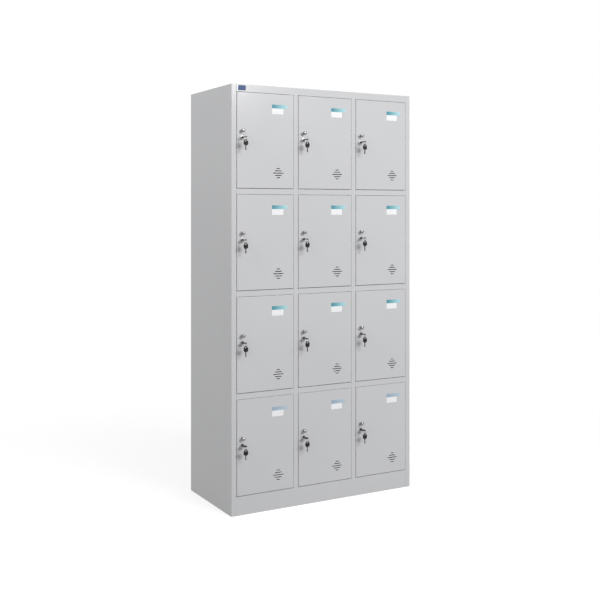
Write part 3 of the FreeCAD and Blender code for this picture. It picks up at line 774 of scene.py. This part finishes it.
def background_rays(tree):
    """One for camera, glossy and transmission rays, nought for the rays that light the object."""
    path = tree.nodes.new("ShaderNodeLightPath")
    seen = path.outputs["Is Camera Ray"]
    for kind in ("Is Glossy Ray", "Is Transmission Ray"):
        larger = tree.nodes.new("ShaderNodeMath")
        larger.operation = "MAXIMUM"
        tree.links.new(seen, larger.inputs[0])
        tree.links.new(path.outputs[kind], larger.inputs[1])
        seen = larger.outputs[0]
    return seen


def background(tree, strength):
    """A white background shader."""
    made = tree.nodes.new("ShaderNodeBackground")
    made.inputs["Color"].default_value = (1, 1, 1, 1)
    made.inputs["Strength"].default_value = strength
    return made.outputs[0]


def mixed(material, factor, zero, one):
    """A grey where the factor is 0 running to another where it is 1; each may be an output."""
    made = node(material, "ShaderNodeMix", data_type="RGBA")
    link(material, factor, made.inputs["Factor"])
    for socket, value in ((made.inputs[MIX_ZERO], zero), (made.inputs[MIX_ONE], one)):
        if isinstance(value, bpy.types.NodeSocket):
            link(material, value, socket)
        else:
            socket.default_value = (*grey(value), 1)
    return made.outputs[MIX_RESULT]


area_light("key_light", (1.50, -5.15, 3.14), aim=(0, 0, 1.0), size=1.2, power=106.0)
area_light("front_light", (0.35, -5.2, 3.5), aim=(0, 0, 1.0), size=1.0, power=54.0)
area_light("far_light", (3.9, -7.2, 4.6), aim=(0, 0, 1.0), size=1.3, power=120.0)
area_light("side_light", (-3.4, -0.7, 4.1), aim=(-0.4, 0, 1.3), size=2.2, power=63.0)

world = bpy.data.worlds.new("studio")
scene.world = world
world.use_nodes = True
tree = world.node_tree
tree.nodes.clear()
choice = tree.nodes.new("ShaderNodeMixShader")
tree.links.new(background_rays(tree), choice.inputs["Fac"])
tree.links.new(background(tree, WORLD_STRENGTH), choice.inputs[1])
tree.links.new(background(tree, 1.0), choice.inputs[2])
output = tree.nodes.new("ShaderNodeOutputWorld")
tree.links.new(choice.outputs[0], output.inputs["Surface"])

floor_mesh = bpy.data.meshes.new("floor")
floor_corners = [(x * FLOOR_REACH, y * FLOOR_REACH, 0) for x, y in ((-1, -1), (1, -1), (1, 1), (-1, 1))]
floor_mesh.from_pydata(floor_corners, [], [(0, 1, 2, 3)])
floor = bpy.data.objects.new("floor", floor_mesh)
scene.collection.objects.link(floor)

floor_material, floor_shader = new_material(
    "studio_floor", grey(FLOOR_GREY), roughness=0.9, Specular_IOR_Level=0.0, Emission_Color=(1, 1, 1, 1))
seen = background_rays(floor_material.node_tree)
place = node(floor_material, "ShaderNodeTexCoord").outputs["Object"]
away = node(floor_material, "ShaderNodeVectorMath", operation="LENGTH")
link(floor_material, place, away.inputs[0])
# near the cabinet the floor takes its shadow, and further out it runs into the white background
far = node(
    floor_material, "ShaderNodeMapRange", interpolation_type="SMOOTHSTEP",
    Value=away.outputs["Value"], From_Min=FADE_START, From_Max=FADE_END,
).outputs["Result"]
shade = mixed(floor_material, seen, FLOOR_GREY, mixed(floor_material, far, SEEN_GREY, 0.0))
link(floor_material, shade, floor_shader.inputs["Base Color"])
lift = node(floor_material, "ShaderNodeMapRange", Value=far, To_Min=FLOOR_GLOW, To_Max=1.0)
glow = node(floor_material, "ShaderNodeMath", operation="MULTIPLY")
link(floor_material, seen, glow.inputs[0])
link(floor_material, lift.outputs["Result"], glow.inputs[1])
link(floor_material, glow.outputs[0], floor_shader.inputs["Emission Strength"])
floor_mesh.materials.append(floor_material)

scene.view_settings.view_transform = "Standard"

bpy.context.view_layer.update()
